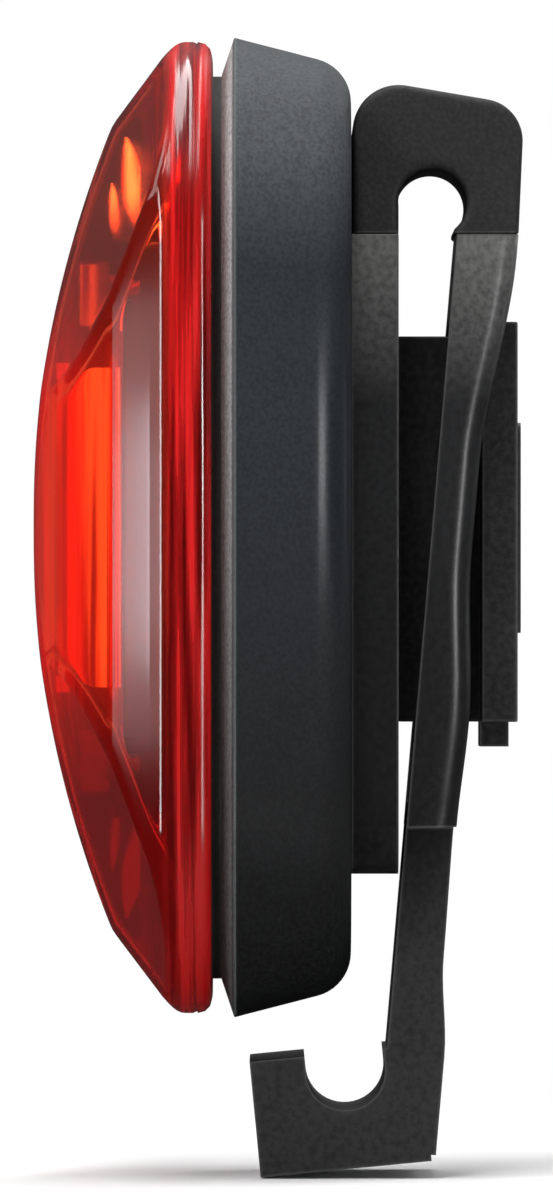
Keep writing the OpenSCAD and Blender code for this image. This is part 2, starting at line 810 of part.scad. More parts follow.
module dock_rail() {
    slot_half = latch_w / 2 + latch_clear;
    color([0.07, 0.07, 0.07]) facing() difference() {
        union() {
            forward(0, flange_t) translate([-flange_w / 2, rail_bottom])
                square([flange_w, flange_top - rail_bottom]);
            forward(flange_t / 2, f_base) translate([-web_w / 2, rail_bottom])
                square([web_w, web_top - rail_bottom]);
        }
        forward(-over, latch_t + latch_room) translate([-slot_half, rail_bottom - over])
            square([2 * slot_half, latch_root + latch_t / 2 + latch_clear - rail_bottom + over]);
        for (y = [-1, 1]) translate([0, y * rail_screw_half])
            forward(f_base - rail_screw_l - 2 * seat_gap, f_base + over) circle(screw_d / 2 + pilot_clear);
    }
}

module dock_screws() {
    seat = f_back - head_h - screw_clear;
    color("silver") facing() for (y = [-1, 1])
        translate([0, y * rail_screw_half, seat]) rotate([180, 0, 0]) screw(seat - f_base + rail_screw_l);
}

module dock_latch() {
    color([0.09, 0.09, 0.09]) across(latch_w) {
        translate([-latch_t, rail_bottom]) square([latch_t, latch_root - rail_bottom]);
        translate([-latch_t / 2, latch_root]) circle(latch_t / 2);
    }
    color([0.09, 0.09, 0.09]) facing() {
        forward(-pad_rise, latch_t / 2) rounded_rect(pad_w, 2 * pad_half, latch_t / 2);
        forward(tab_in, tab_in + tab_t) translate([-latch_w / 2, rail_bottom - tab_l])
            square([latch_w, 2 * tab_l]);
    }
}

// The bow seen from the side, with the eye and the slot below it
module bow_profile() {
    difference() {
        union() {
            polygon([
                [bow_front[0] - bow_front_r, clip_top],
                [bow_front[0] - bow_front_r, bow_front[1]],
                bow_front + bow_front_r * bow_normal,
                bow_back + bow_back_r * bow_normal,
                [bow_back[0] + bow_back_r, bow_back[1]],
                [arm_back_top, clip_top]
            ]);
            translate(bow_front) circle(bow_front_r);
            translate(bow_back) circle(bow_back_r);
        }
        translate(eye) circle(eye_r);
        translate([-f_base, clip_top - over]) square([slot_w, eye_up - clip_top + over]);
    }
}

module clip_bow() {
    color([0.18, 0.18, 0.18]) {
        across(bow_w) bow_profile();
        for (y = [base_tongue_y, arm_tongue_y])
            translate([-tongue_w / 2, y - tongue_t / 2, clip_top - tongue_l])
                cube([tongue_w, tongue_t, tongue_l + base_t / 2]);
    }
}

// A stretch of the arm in its own leaning frame, between two distances below the eye
module arm_bar(thickness, high, low) {
    translate(eye) rotate(-arm_lean) translate([arm_in, -low]) square([thickness, low - high]);
}

// The hook with its cup, leaning the other way
module hook_profile() {
    left = hook_r + tip_t;
    right = hook_r + heel_t;
    translate(cup) rotate(hook_lean) difference() {
        translate([-left, -hook_r - hook_t]) square([left + right, hook_r + hook_t + tip_rise]);
        circle(hook_r);
        translate([-hook_r, 0]) square([2 * hook_r, tip_rise + over]);
    }
}

module clip_arm() {
    step_drop = (eye_up - arm_step_up) / cos(arm_lean);
    end_drop = hook_drop + hook_r + heel_in;
    color([0.16, 0.16, 0.16]) difference() {
        union() {
            across(clip_w) intersection() {
                arm_bar(arm_t, 0, step_drop);
                translate([-f_back, arm_step_up]) square([2 * f_back, clip_top - arm_step_up]);
            }
            across(tail_w) {
                arm_bar(tail_t, step_drop - tail_t, end_drop);
                hook_profile();
            }
        }
        translate([-window_w / 2, -f_base, window_bottom])
            cube([window_w, 2 * f_base, window_top - window_bottom]);
        tongue_pocket(arm_tongue_y);
    }
}

lens();
light_guide();
reflector();
leds();
led_board();
driver_chip();
board_resistors();
tact_switch();
board_screws();
lens_seal();
housing();
power_button();
cell_left();
cell_right();
contact_positive();
contact_negative();
contact_bridge();
clip_base();
clip_screws();
dock_rail();
dock_screws();
dock_latch();
clip_bow();
clip_arm();
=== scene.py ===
"""Looks of the bike rear light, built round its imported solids.

Lengths are millimetres until a mesh is made. X runs across, Z is up and the lens faces -Y.
Forward distances, called f, are measured from the dock rail's back face, so Y is minus f.
"""

import json
import math

import bmesh
import bpy
import numpy as np
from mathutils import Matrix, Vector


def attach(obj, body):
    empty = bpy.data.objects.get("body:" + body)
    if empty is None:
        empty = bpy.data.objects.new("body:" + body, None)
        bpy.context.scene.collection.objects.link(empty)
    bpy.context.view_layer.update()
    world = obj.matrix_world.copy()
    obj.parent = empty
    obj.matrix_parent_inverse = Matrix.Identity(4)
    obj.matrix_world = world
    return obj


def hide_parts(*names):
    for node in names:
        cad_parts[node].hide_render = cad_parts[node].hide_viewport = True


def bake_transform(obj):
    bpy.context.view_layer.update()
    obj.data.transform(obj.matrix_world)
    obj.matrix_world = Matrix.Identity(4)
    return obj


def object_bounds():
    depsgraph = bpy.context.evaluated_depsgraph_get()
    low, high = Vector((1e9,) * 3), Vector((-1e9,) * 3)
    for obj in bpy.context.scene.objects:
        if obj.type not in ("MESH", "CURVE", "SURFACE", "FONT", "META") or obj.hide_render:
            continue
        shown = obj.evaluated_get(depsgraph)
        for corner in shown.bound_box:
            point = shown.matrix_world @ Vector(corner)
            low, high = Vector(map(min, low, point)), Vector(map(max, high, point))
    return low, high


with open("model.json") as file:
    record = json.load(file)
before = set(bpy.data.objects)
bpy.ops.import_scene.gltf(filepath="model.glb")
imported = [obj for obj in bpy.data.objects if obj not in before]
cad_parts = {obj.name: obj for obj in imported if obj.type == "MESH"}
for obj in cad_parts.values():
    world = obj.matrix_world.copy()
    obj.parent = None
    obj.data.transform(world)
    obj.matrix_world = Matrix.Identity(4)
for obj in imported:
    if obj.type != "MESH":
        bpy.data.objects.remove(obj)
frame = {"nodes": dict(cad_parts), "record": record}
cad_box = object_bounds()
NODES = frame["nodes"]
MM = 0.001

# Lens, as in the part's source
HALF_W = 19.0
HALF_H = 34.98
CORNER_R = 13.5
F_LENS = 22.0
F_RIM = 25.6
F_APEX = 35.0
BOW_R = 76.5
END_D = 2.5
END_LEAN = math.radians(39)
WALL = 1.6
LEAN = math.radians(34)
FACET_W = 4.43
FACET_HALF = 16.5
FACET_SLANT = 9.5
CORNER_UP = 30.0
CORNER_KEEP = 0.7
FLANGE_T = 1.4
SPIGOT_IN = 4.0
SPIGOT_T = 1.4
SPIGOT_L = 2.8
RIM_ROUND = 1.0
GROOVE = 0.12
GROOVE_AT = 0.9
CREASE_SOFT = 0.06
F_CUPS = 28.2

# How finely the lens is drawn, and the rounding of its edges
LENS_ROWS = 64
LENS_CORNER_ROWS = 40
LENS_COLUMNS = 56
LENS_CROWD = 0.93
LENS_EDGE = 0.6
LENS_EDGE_STEPS = 8
LENS_ROUND = 0.25
FOOT_IN = 0.5
FOOT_RISE = 0.1
FOOT_UP = 0.6

# Points closer than these, in metres, are one point, and faces closer than this angle are one face
SAME_POINT = 1e-7
WELD = 1e-6
FLAT = math.radians(0.2)


def metres(points):
    """Turns X, f and Z in millimetres into row-frame points in metres."""
    return [(x * MM, -f * MM, z * MM) for x, f, z in points]


def add_object(name, mesh):
    """A smoothly shaded object for a mesh."""
    mesh.polygons.foreach_set("use_smooth", [True] * len(mesh.polygons))
    obj = bpy.data.objects.new(name, mesh)
    bpy.context.scene.collection.objects.link(obj)
    return obj


def mesh_object(name, points, faces):
    """An object from millimetre points and faces, with its normals outwards."""
    mesh = bpy.data.meshes.new(name)
    mesh.from_pydata(metres(points), [], faces)
    mesh.validate()
    shape = bmesh.new()
    shape.from_mesh(mesh)
    bmesh.ops.remove_doubles(shape, verts=shape.verts, dist=SAME_POINT)
    bmesh.ops.recalc_face_normals(shape, faces=shape.faces)
    shape.to_mesh(mesh)
    shape.free()
    return add_object(name, mesh)


# Materials

# Cosines between a face and its softened normal, on the flat and on a worn edge
EDGE_FLAT = 0.995
EDGE_WORN = 0.9
WORN_MM = 0.35
CLOUD_MM = 9.0
# Width of the painted light at the housing's front lip, and the heights over which it brightens towards the
# top
BAND_EDGE = 0.15
LIP_LIGHT_UP = (-20, 30)

# Places along the axes where the look of the lens, the light guide and the cups changes
RIM_TO_FRONT = (-25.0, -25.6)
RIM_RIDGES = (-25.2, -24.8)
# Heights over which the rim and the lens front are painted darker and deeper red towards the bottom:
# painted shade
RIM_SHADE_DOWN = (10, -60)
TONE_SHADE_DOWN = (-8, -20)
# Places where the lens's painted red glow comes up: forward of the first pair, and towards the middle from
# the second
GLOW_FORWARD = (-30.0, -33.0)
GLOW_UP = (20, 8)
GUIDE_FRONT = (-30.6, -31.6)
GLOW_EDGE = 0.6
CUP_ACROSS = (5.1, 5.0)
CUP_UP = (18.1, 18.0)
CUP_MOUTH = (-F_CUPS, -F_CUPS + 0.03)


class Paint:
    """A Principled material with helpers for its procedural nodes."""

    def __init__(self, name, colour, rough, specular=0.5):
        self.mat = bpy.data.materials.new(name)
        self.mat.use_nodes = True
        self.tree = self.mat.node_tree
        self.shader = self.tree.nodes["Principled BSDF"]
        self.place = self.node("ShaderNodeTexCoord").outputs["Object"]
        self.set("Base Color", (*colour, 1))
        self.set("Roughness", rough)
        self.set("Specular IOR Level", specular)

    def node(self, kind, **settings):
        """Adds a node with some settings."""
        made = self.tree.nodes.new(kind)
        for key, value in settings.items():
            setattr(made, key, value)
        return made

    def set(self, socket, value):
        """Puts a constant on one of the shader's own sockets."""
        self.shader.inputs[socket].default_value = value

    def link(self, source, target):
        """Joins an output to an input."""
        self.tree.links.new(source, target)

    def noise(self, size_mm, detail=3.0, stretch=(1, 1, 1)):
        """Noise with features of about that size, stretched along the axes."""
        place = self.node("ShaderNodeMapping")
        place.inputs["Scale"].default_value = stretch
        self.link(self.place, place.inputs["Vector"])
        made = self.node("ShaderNodeTexNoise")
        made.inputs["Scale"].default_value = 1 / (size_mm * MM)
        made.inputs["Detail"].default_value = detail
        self.link(place.outputs["Vector"], made.inputs["Vector"])
        return made.outputs["Fac"]

    def ramp(self, source, stops):
        """Colours or greys along a value from 0 to 1."""
        made = self.node("ShaderNodeValToRGB")
        ramp = made.color_ramp
        while len(ramp.elements) < len(stops):
            ramp.elements.new(0.5)
        for element, (at, colour) in zip(ramp.elements, stops):
            element.position = at
            element.color = (*colour, 1) if len(colour) == 3 else (colour[0],) * 3 + (1,)
        self.link(source, made.inputs["Fac"])
        return made.outputs["Color"]

    def mix(self, share, first, second):
        """Blends two colour sockets by a fixed share."""
        made = self.node("ShaderNodeMix", data_type="RGBA")
        made.inputs[0].default_value = share
        self.link(first, made.inputs[6])
        self.link(second, made.inputs[7])
        return made.outputs[2]

    def towards(self, body, colour, share):
        """Turns a colour socket towards a colour by a value."""
        made = self.node("ShaderNodeMix", data_type="RGBA")
        made.inputs[7].default_value = (*colour, 1)
        self.link(share, made.inputs[0])
        self.link(body, made.inputs[6])
        return made.outputs[2]

    def between(self, share, first, second):
        """Blends two colour sockets by a value."""
        made = self.node("ShaderNodeMix", data_type="RGBA")
        self.link(share, made.inputs[0])
        self.link(first, made.inputs[6])
        self.link(second, made.inputs[7])
        return made.outputs[2]

    def times(self, first, second):
        """The product of two values."""
        made = self.node("ShaderNodeMath", operation="MULTIPLY")
        self.link(first, made.inputs[0])
        self.link(second, made.inputs[1])
        return made.outputs[0]

    def bump(self, source, depth_mm):
        """Relief of some depth from a value."""
        made = self.node("ShaderNodeBump")
        made.inputs["Distance"].default_value = depth_mm * MM
        self.link(source, made.inputs["Height"])
        self.link(made.outputs["Normal"], self.shader.inputs["Normal"])

    def step(self, axis, start, end, size=False, ease=False):
        """A value that goes from 0 to 1 between two places along an axis, in millimetres."""
        split = self.node("ShaderNodeSeparateXYZ")
        self.link(self.place, split.inputs[0])
        value = split.outputs[axis]
        if size:
            plain = self.node("ShaderNodeMath", operation="ABSOLUTE")
            self.link(value, plain.inputs[0])
            value = plain.outputs[0]
        made = self.node("ShaderNodeMapRange", interpolation_type="SMOOTHSTEP" if ease else "LINEAR")
        made.inputs["From Min"].default_value = start * MM
        made.inputs["From Max"].default_value = end * MM
        self.link(value, made.inputs["Value"])
        return made.outputs["Result"]

    def edges(self, radius_mm):
        """A mask that is high along worn edges."""
        soft = self.node("ShaderNodeBevel", samples=6)
        soft.inputs["Radius"].default_value = radius_mm * MM
        plain = self.node("ShaderNodeNewGeometry")
        same = self.node("ShaderNodeVectorMath", operation="DOT_PRODUCT")
        self.link(soft.outputs["Normal"], same.inputs[0])
        self.link(plain.outputs["Normal"], same.inputs[1])
        made = self.node("ShaderNodeMapRange")
        made.inputs["From Min"].default_value = EDGE_FLAT
        made.inputs["From Max"].default_value = EDGE_WORN
        self.link(same.outputs["Value"], made.inputs["Value"])
        return made.outputs["Result"]


def moulded(
    name, dark, pale, rough, grain_mm, grain_depth, worn, specular=0.3, dust_and_painted_light=(), lit_lip=None, polish=None
):
    """Moulded plastic with a fine grain, uneven gloss and paler worn edges.

    Dust and painted light is a list of colours, each coming up between two heights: speckled dust together
    with painted light that makes parts paler towards the top or the bottom. The lit lip is an edge with
    painted light in front of it, one colour all along and a brighter one towards the top. Polish is a lower
    roughness with the steps that bound it.
    """
    paint = Paint(name, dark, rough, specular)
    grain = paint.noise(grain_mm, 2.0)
    cloud = paint.noise(CLOUD_MM)
    fine = paint.ramp(grain, [(0.38, dark), (0.72, pale)])
    broad = paint.ramp(cloud, [(0.3, dark), (0.8, pale)])
    body = paint.mix(0.3, fine, broad)
    speckle = paint.ramp(grain, [(0.35, (0.55,)), (0.62, (1.0,))])
    # Speckled dust together with painted light: each colour pales the plastic over a range of heights
    for colour, low, high in dust_and_painted_light:
        body = paint.towards(body, colour, paint.times(speckle, paint.step("Z", low, high)))
    # Painted light: a pale band at the front lip, brighter towards the top, stands in for light catching
    # the lip
    if lit_lip is not None:
        start, along, lip_highlight = lit_lip
        edge = paint.step("Y", -start, -start - BAND_EDGE)
        body = paint.towards(body, along, paint.times(speckle, edge))
        top = paint.times(edge, paint.step("Z", *LIP_LIGHT_UP))
        body = paint.towards(body, lip_highlight, paint.times(speckle, top))
    body = paint.towards(body, worn, paint.edges(WORN_MM))
    paint.link(body, paint.shader.inputs["Base Color"])
    gloss = paint.ramp(cloud, [(0.3, (rough - 0.07,)), (0.75, (rough + 0.1,))])
    if polish is not None:
        smooth, ends = polish
        share = paint.step(*ends[0], ease=True)
        for end in ends[1:]:
            share = paint.times(share, paint.step(*end, ease=True))
        gloss = paint.towards(gloss, (smooth,) * 3, share)
    paint.link(gloss, paint.shader.inputs["Roughness"])
    paint.bump(grain, grain_depth)
    return paint.mat


def clear_red():
    """Polished red plastic, darker seen edge on, streaked with scattered light in its rim, with painted
    shade towards the bottom and a painted red glow in front of the light guide.
    """
    paint = Paint("lens_red", (0.8, 0.012, 0.008), 0.05)
    paint.set("IOR", 1.45)
    slant = paint.node("ShaderNodeLayerWeight")
    slant.inputs["Blend"].default_value = 0.5
    tone = paint.ramp(
        slant.outputs["Facing"],
        [(0.25, (0.55, 0.045, 0.018)), (0.7, (0.45, 0.04, 0.015)), (0.9, (0.12, 0.005, 0.004))],
    )
    # Painted shade: the lens front and rim turn darker and deeper red towards the bottom
    tone = paint.towards(tone, (0.42, 0.007, 0.006), paint.step("Z", *TONE_SHADE_DOWN))
    streaks = paint.noise(0.7, 2.0, (0.03, 1, 0.03))
    rim = paint.ramp(streaks, [(0.35, (0.36, 0.002, 0.002)), (0.62, (0.72, 0.004, 0.004))])
    rim = paint.towards(rim, (0.2, 0.001, 0.001), paint.step("Z", *RIM_SHADE_DOWN))
    front = paint.step("Y", *RIM_TO_FRONT)
    paint.link(paint.between(front, rim, tone), paint.shader.inputs["Base Color"])
    # Painted glow: the lens itself gives out red light, faint all over and stronger in front of the light
    # guide
    lit = paint.times(paint.step("Y", *GLOW_FORWARD), paint.step("Z", *GLOW_UP, size=True))
    drawn = paint.ramp(paint.noise(0.5, 2.0, (0.3, 1, 0.02)), [(0.38, (0.35,)), (0.6, (1.0,))])
    lit = paint.times(lit, drawn)
    glow = paint.ramp(lit, [(0.0, (0.03, 0.0002, 0.0002)), (1.0, (0.5, 0.003, 0.002))])
    paint.link(glow, paint.shader.inputs["Emission Color"])
    paint.set("Emission Strength", 0.45)
    for socket, stops, plain in (
        ("Transmission Weight", [(0.35, (0.9,)), (0.62, (0.25,))], 0.93),
        ("Roughness", [(0.35, (0.15,)), (0.62, (0.32,))], 0.05),
    ):
        share = paint.node("ShaderNodeMix", data_type="FLOAT")
        share.inputs["B"].default_value = plain
        paint.link(front, share.inputs["Factor"])
        paint.link(paint.ramp(streaks, stops), share.inputs["A"])
        paint.link(share.outputs["Result"], paint.shader.inputs[socket])
    paint.bump(paint.times(streaks, paint.step("Y", *RIM_RIDGES)), 0.06)
    return paint.mat


def glowing(name, colour, glow, strength, glow_from, heights=()):
    """A light guide that is lit in front of some forward distance, with fine drawn lines along it.

    Heights are pairs of places along Z between which the light comes up, the last value telling
    whether both ends of the part count alike.
    """
    paint = Paint(name, colour, 0.18)
    lines = paint.noise(0.6, 2.0, (1, 1, 0.02))
    tone = paint.ramp(lines, [(0.35, tuple(c * 0.6 for c in colour)), (0.65, colour)])
    paint.link(tone, paint.shader.inputs["Base Color"])
    light = paint.ramp(lines, [(0.4, (glow[0] * 0.15, glow[1] * 0.02, 0)), (0.58, glow)])
    light = paint.towards(light, (glow[0] * 0.5, glow[1] * 0.05, 0), paint.step("Y", *GUIDE_FRONT))
    lit = paint.node("ShaderNodeMix", data_type="RGBA")
    lit.inputs[6].default_value = (0.02, 0.002, 0, 1)
    share = paint.step("Y", -glow_from, -glow_from - GLOW_EDGE)
    for low, high, alike in heights:
        share = paint.times(share, paint.step("Z", low, high, size=alike))
    paint.link(share, lit.inputs[0])
    paint.link(light, lit.inputs[7])
    paint.link(lit.outputs[2], paint.shader.inputs["Emission Color"])
    paint.set("Emission Strength", strength)
    paint.bump(lines, 0.03)
    return paint.mat


def cupped():
    """Dark glossy plastic with bright metal vapour inside the three cups."""
    paint = Paint("reflector_dark", (0.03, 0.026, 0.026), 0.5, 0.12)
    dark = paint.ramp(paint.noise(4.0), [(0.3, (0.02, 0.017, 0.017)), (0.8, (0.045, 0.04, 0.04))])
    inside = paint.times(paint.step("X", *CUP_ACROSS, size=True), paint.step("Y", *CUP_MOUTH))
    inside = paint.times(inside, paint.step("Z", *CUP_UP, size=True))
    tone = paint.towards(dark, (0.86, 0.85, 0.84), inside)
    paint.link(tone, paint.shader.inputs["Base Color"])
    paint.link(inside, paint.shader.inputs["Metallic"])
    gloss = paint.ramp(inside, [(0.0, (0.5,)), (1.0, (0.14,))])
    paint.link(gloss, paint.shader.inputs["Roughness"])
    return paint.mat


def metal(name, colour, rough):
    """Plated metal with drawn lines."""
    paint = Paint(name, colour, rough)
    paint.set("Metallic", 1.0)
    lines = paint.noise(0.25, 2.0, (1, 1, 0.15))
    tone = paint.ramp(lines, [(0.3, tuple(c * 0.7 for c in colour)), (0.7, colour)])
    paint.link(tone, paint.shader.inputs["Base Color"])
    gloss = paint.ramp(lines, [(0.3, (rough - 0.08,)), (0.7, (rough + 0.12,))])
    paint.link(gloss, paint.shader.inputs["Roughness"])
    return paint.mat


MATERIALS = {
    "lens_red": clear_red(),
    "guide_amber": glowing(
        "guide_amber",
        colour=(1.0, 0.3, 0.05),
        glow=(1.0, 0.65, 0.22),
        strength=3.5,
        glow_from=29.0,
        heights=[(-13.5, -12, False)],
    ),
    "reflector_dark": cupped(),
    # Painted glints: the petals glow far brighter than the guide, standing in for glints at both ends of
    # the lens
    "petal_glint_glow": glowing(
        "petal_glint_glow",
        colour=(1.0, 0.3, 0.05),
        glow=(1.0, 0.95, 0.35),
        strength=26.0,
        glow_from=24.0,
        heights=[(-2, 2, False), (20.8, 23.8, True)],
    ),
    "led_resin": glowing(
        "led_resin", colour=(0.9, 0.25, 0.12), glow=(1.0, 0.5, 0.2), strength=2.0, glow_from=26.4
    ),
    "board_green": moulded(
        "board_green",
        dark=(0.02, 0.12, 0.05),
        pale=(0.05, 0.22, 0.1),
        rough=0.35,
        grain_mm=1.2,
        grain_depth=0.01,
        worn=(0.3, 0.32, 0.18),
        specular=0.5,
    ),
    "chip_black": moulded(
        "chip_black",
        dark=(0.02, 0.02, 0.022),
        pale=(0.05, 0.05, 0.055),
        rough=0.5,
        grain_mm=0.2,
        grain_depth=0.01,
        worn=(0.1, 0.1, 0.1),
    ),
    "screw_steel": metal("screw_steel", (0.62, 0.62, 0.64), 0.3),
    "seal_rubber": moulded(
        "seal_rubber",
        dark=(0.008, 0.008, 0.008),
        pale=(0.02, 0.02, 0.02),
        rough=0.7,
        grain_mm=0.4,
        grain_depth=0.01,
        worn=(0.04, 0.04, 0.04),
    ),
    "housing_plastic": moulded(
        "housing_plastic",
        dark=(0.003, 0.0034, 0.0038),
        pale=(0.009, 0.0098, 0.011),
        rough=0.66,
        grain_mm=0.3,
        grain_depth=0.01,
        worn=(0.16, 0.17, 0.175),
        specular=0.25,
        # Paler towards the top: speckled dust together with painted light falling from above
        dust_and_painted_light=[((0.017, 0.0225, 0.028), -19, 8), ((0.06, 0.066, 0.069), 18.5, 27)],
        # Painted light catching the front lip, brighter towards the top
        lit_lip=(20.45, (0.09, 0.095, 0.095), (0.4, 0.42, 0.42)),
        polish=(0.29, [("Z", -15, 5), ("Z", 22, 6), ("Y", -14.9, -14.2)]),
    ),
    "button_rubber": moulded(
        "button_rubber",
        dark=(0.018, 0.018, 0.019),
        pale=(0.04, 0.04, 0.042),
        rough=0.65,
        grain_mm=0.3,
        grain_depth=0.02,
        worn=(0.08, 0.08, 0.08),
    ),
    "cell_wrap": moulded(
        "cell_wrap",
        dark=(0.55, 0.38, 0.06),
        pale=(0.75, 0.56, 0.16),
        rough=0.3,
        grain_mm=2.0,
        grain_depth=0.004,
        worn=(0.8, 0.75, 0.6),
        specular=0.5,
    ),
    "contact_metal": metal("contact_metal", (0.72, 0.72, 0.7), 0.25),
    "clip_plastic": moulded(
        "clip_plastic",
        dark=(0.004, 0.004, 0.0042),
        pale=(0.011, 0.011, 0.0115),
        rough=0.36,
        grain_mm=0.5,
        grain_depth=0.008,
        worn=(0.06, 0.06, 0.058),
        # Paler by the bow and again towards the tail: speckled dust together with painted light and painted
        # sheen
        dust_and_painted_light=[
            ((0.017, 0.0175, 0.0185), -24, 2),
            ((0.15, 0.15, 0.145), 9, 25),
            ((0.026, 0.026, 0.026), -21, -31),
        ],
        polish=(0.285, [("Z", -21, -4), ("Z", 21, 6)]),
    ),
    "rail_plastic": moulded(
        "rail_plastic",
        dark=(0.009, 0.009, 0.009),
        pale=(0.028, 0.028, 0.028),
        rough=0.38,
        grain_mm=0.5,
        grain_depth=0.01,
        worn=(0.07, 0.07, 0.07),
    ),
    "bow_plastic": moulded(
        "bow_plastic",
        dark=(0.008, 0.008, 0.008),
        pale=(0.02, 0.02, 0.02),
        rough=0.6,
        grain_mm=0.35,
        grain_depth=0.03,
        worn=(0.08, 0.08, 0.08),
    ),
}


def finish_with(obj, slot):
    """Gives a piece one material."""
    obj.data.materials.clear()
    obj.data.materials.append(MATERIALS[slot])


# Lens


def soft_min(values, k):
    """The least of some values, eased where they come within about k of each other."""
    low = np.min(values, axis=0)
    total = sum(np.exp(-(v - low) / k) for v in values)
    return low - k * np.log(total)


def lens_height(x, z, inset):
    """Forward distance of the lens surface, drawn in by some distance, with soft creases."""
    x, z = np.abs(x), np.abs(z)
    out = np.array([math.cos(LEAN), math.sin(LEAN)])
    along = np.array([-math.sin(LEAN), math.cos(LEAN)])
    crease = np.array([HALF_W, F_RIM]) + along * FACET_W
    drop = F_APEX - crease[1]
    cross_r = (crease[0] ** 2 + drop**2) / (2 * drop)
    cross = F_APEX - cross_r + np.sqrt(np.maximum((cross_r - inset) ** 2 - x**2, 0.01))
    facet = F_RIM - (inset + out[0] * (x - HALF_W)) / out[1]
    arch = F_APEX - BOW_R + np.sqrt((BOW_R - inset) ** 2 - z**2)
    end = F_LENS + END_D + (HALF_H - z) * math.tan(END_LEAN) - inset / math.cos(END_LEAN)
    a = np.array([crease[0], FACET_HALF, crease[1]])
    b = np.array([HALF_W, FACET_HALF + FACET_SLANT, F_RIM])
    c = np.array([0, CORNER_UP, F_APEX - BOW_R + math.sqrt(BOW_R**2 - CORNER_UP**2) + CORNER_KEEP])
    n = np.cross(b - a, c - a)
    n = n / np.linalg.norm(n)
    corner = a[2] - (inset + n[0] * (x - a[0]) + n[1] * (z - a[1])) / n[2]
    return soft_min([cross, facet, arch, end, corner], CREASE_SOFT)


class Skin:
    """Collects points and quads for a lofted mesh."""

    def __init__(self):
        self.points = []
        self.faces = []

    def ring(self, xz, f):
        """Adds a closed loop of points and returns their numbers."""
        start = len(self.points)
        heights = f if hasattr(f, "__len__") else [f] * len(xz)
        self.points.extend((x, h, z) for (x, z), h in zip(xz, heights))
        return list(range(start, start + len(xz)))

    def bridge(self, a, b):
        """Quads between two loops of the same length."""
        n = len(a)
        for i in range(n):
            j = (i + 1) % n
            self.faces.append((a[i], a[j], b[j], b[i]))


def sheet(skin, inset, edge_in):
    """The lens surface as a grid inside the outline; returns its border in order."""
    r = CORNER_R - edge_in
    cx = HALF_W - CORNER_R
    cz = HALF_H - CORNER_R
    quarter = math.pi / 2
    straight = [cz * i / LENS_ROWS for i in range(LENS_ROWS + 1)]
    corner = [cz + r * math.sin(quarter * i / LENS_CORNER_ROWS) for i in range(1, LENS_CORNER_ROWS + 1)]
    up = straight + corner
    heights = [-v for v in reversed(up[1:])] + up
    most = quarter * LENS_CROWD
    shares = [math.sin(most * i / LENS_COLUMNS) / math.sin(most) for i in range(LENS_COLUMNS + 1)]
    across = [-s for s in reversed(shares[1:])] + shares
    grid = []
    for z in heights:
        over = max(abs(z) - cz, 0)
        width = cx + math.sqrt(max(r * r - over * over, 0))
        xs = np.array(across) * width
        fs = lens_height(xs, np.full(len(xs), z), inset)
        start = len(skin.points)
        skin.points.extend((x, f, z) for x, f in zip(xs, fs))
        grid.append(list(range(start, start + len(xs))))
    for low, high in zip(grid, grid[1:]):
        for i in range(len(low) - 1):
            skin.faces.append((low[i], low[i + 1], high[i + 1], high[i]))
    right = [row[-1] for row in grid]
    left = [row[0] for row in grid]
    return right + grid[-1][-2:0:-1] + left[::-1] + grid[0][1:-1]


def moved_in(points, inset_from, inset_to):
    """Carries border points along the outline's normals from one inset to another."""
    cx = HALF_W - CORNER_R
    cz = HALF_H - CORNER_R
    r = CORNER_R - inset_from
    made = []
    for x, z in points:
        nx = (abs(x) - cx) / r if abs(x) > cx else 0
        nz = (abs(z) - cz) / r if abs(z) > cz else 0
        size = math.hypot(nx, nz) or 1
        step = inset_from - inset_to
        made.append((x + math.copysign(nx / size, x) * step, z + math.copysign(nz / size, z) * step))
    return made


